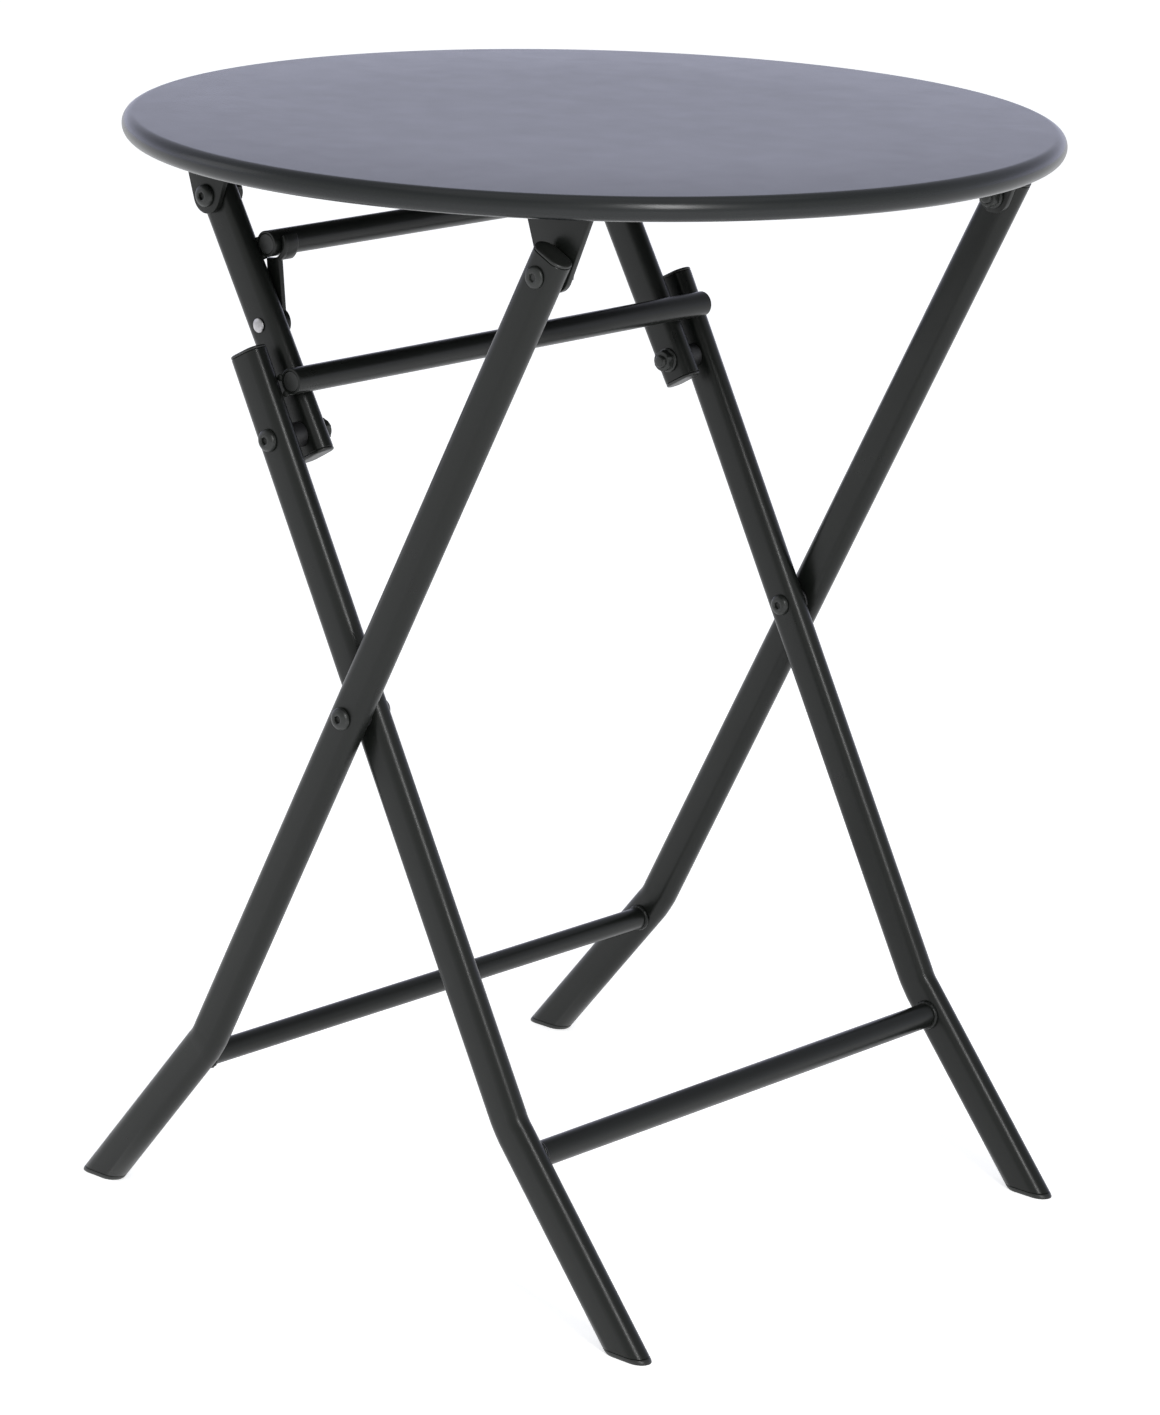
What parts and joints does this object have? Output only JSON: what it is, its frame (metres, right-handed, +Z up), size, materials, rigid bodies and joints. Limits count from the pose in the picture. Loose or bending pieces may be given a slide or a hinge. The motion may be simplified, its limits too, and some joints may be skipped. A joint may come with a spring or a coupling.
{
  "type": "folding bistro table",
  "caption": "Round folding bistro table: sheet-metal top with rolled rim on crossed flat-oval tube legs, with hinged links and a knee stop that hold it open.",
  "frame": {"origin": "on the floor, under the middle of the top", "axes": "+Z up; +X towards the inner legs' feet; the crossbars and all fold pivots run along Y"},
  "size_m": [0.595, 0.595, 0.712],
  "materials": {
    "top_paint": "smooth semi-matte powder coat, blue-grey sheen",
    "frame_paint": "fine-textured anthracite powder coat, satin",
    "end_plastic": "moulded anthracite plastic",
    "nylon": "black nylon",
    "fasteners": "dark coated steel",
    "bright_rivet": "bare zinc-plated steel"
  },
  "bodies": {
    "outer_frame": {"outer_leg_near": "frame_paint", "outer_leg_far": "frame_paint", "outer_glide_near": "end_plastic", "outer_glide_far": "end_plastic", "outer_leg_cap_near": "end_plastic", "outer_leg_cap_far": "end_plastic", "outer_crossbar": "frame_paint", "top_pivot_bolt_near": "fasteners", "top_pivot_bolt_far": "fasteners", "cross_pivot_bolt_near": "fasteners", "cross_pivot_bolt_far": "fasteners"},
    "inner_frame": {"inner_leg_near": "frame_paint", "inner_leg_far": "frame_paint", "inner_glide_near": "end_plastic", "inner_glide_far": "end_plastic", "inner_leg_cap_near": "end_plastic", "inner_leg_cap_far": "end_plastic", "inner_crossbar": "frame_paint", "stop_bar": "frame_paint", "cross_pivot_nut_near": "fasteners", "cross_pivot_nut_far": "fasteners", "cross_washer_near": "nylon", "cross_washer_far": "nylon", "knee_bolt_near": "fasteners", "knee_bolt_far": "fasteners", "knee_spacer_near": "nylon", "knee_spacer_far": "nylon", "stop_bar_plug_near": "end_plastic", "stop_bar_plug_far": "end_plastic"},
    "top": {"top_panel": "top_paint", "top_rail_near": "frame_paint", "top_rail_far": "frame_paint", "top_bracket_near": "frame_paint", "top_bracket_far": "frame_paint", "link_bracket_near": "frame_paint", "link_bracket_far": "frame_paint", "top_pivot_nut_near": "fasteners", "top_pivot_nut_far": "fasteners", "link_pivot_bolt_near": "fasteners", "link_pivot_bolt_far": "fasteners"},
    "link_frame": {"link_leg_near": "frame_paint", "link_leg_far": "frame_paint", "link_top_cap_near": "end_plastic", "link_top_cap_far": "end_plastic", "link_bottom_cap_near": "end_plastic", "link_bottom_cap_far": "end_plastic", "link_crossbar": "frame_paint", "link_pivot_nut_near": "fasteners", "link_pivot_nut_far": "fasteners", "knee_nut_near": "fasteners", "knee_nut_far": "fasteners", "catch_rivet": "bright_rivet", "link_bar_plug_near": "end_plastic", "link_bar_plug_far": "end_plastic"},
    "catch": {"safety_catch": "frame_paint"}
  },
  "joints": [
    {"name": "top_fold", "type": "hinge", "parent": "outer_frame", "child": "top", "pos_m": [0.16, 0, 0.6605], "axis": [0, -1, 0], "range_deg": [0, 57]},
    {"name": "inner_frame_fold", "type": "hinge", "parent": "outer_frame", "child": "inner_frame", "pos_m": [0.0075, 0, 0.362], "axis": [0, 1, 0], "range_deg": [0, 50]},
    {"name": "link_fold", "type": "hinge", "parent": "top", "child": "link_frame", "pos_m": [-0.159, 0, 0.6605], "axis": [0, -1, 0], "range_deg": [0, 60]},
    {"name": "catch_swing", "type": "hinge", "parent": "link_frame", "child": "catch", "pos_m": [-0.11443, -0.16, 0.58393], "axis": [0, -1, 0], "range_deg": [-20, 0]}
  ],
  "couplings": [
    {"joint": "inner_frame_fold", "follows": "top_fold", "ratio": 0.8763},
    {"joint": "link_fold", "follows": "top_fold", "ratio": 1.0516}
  ]
}
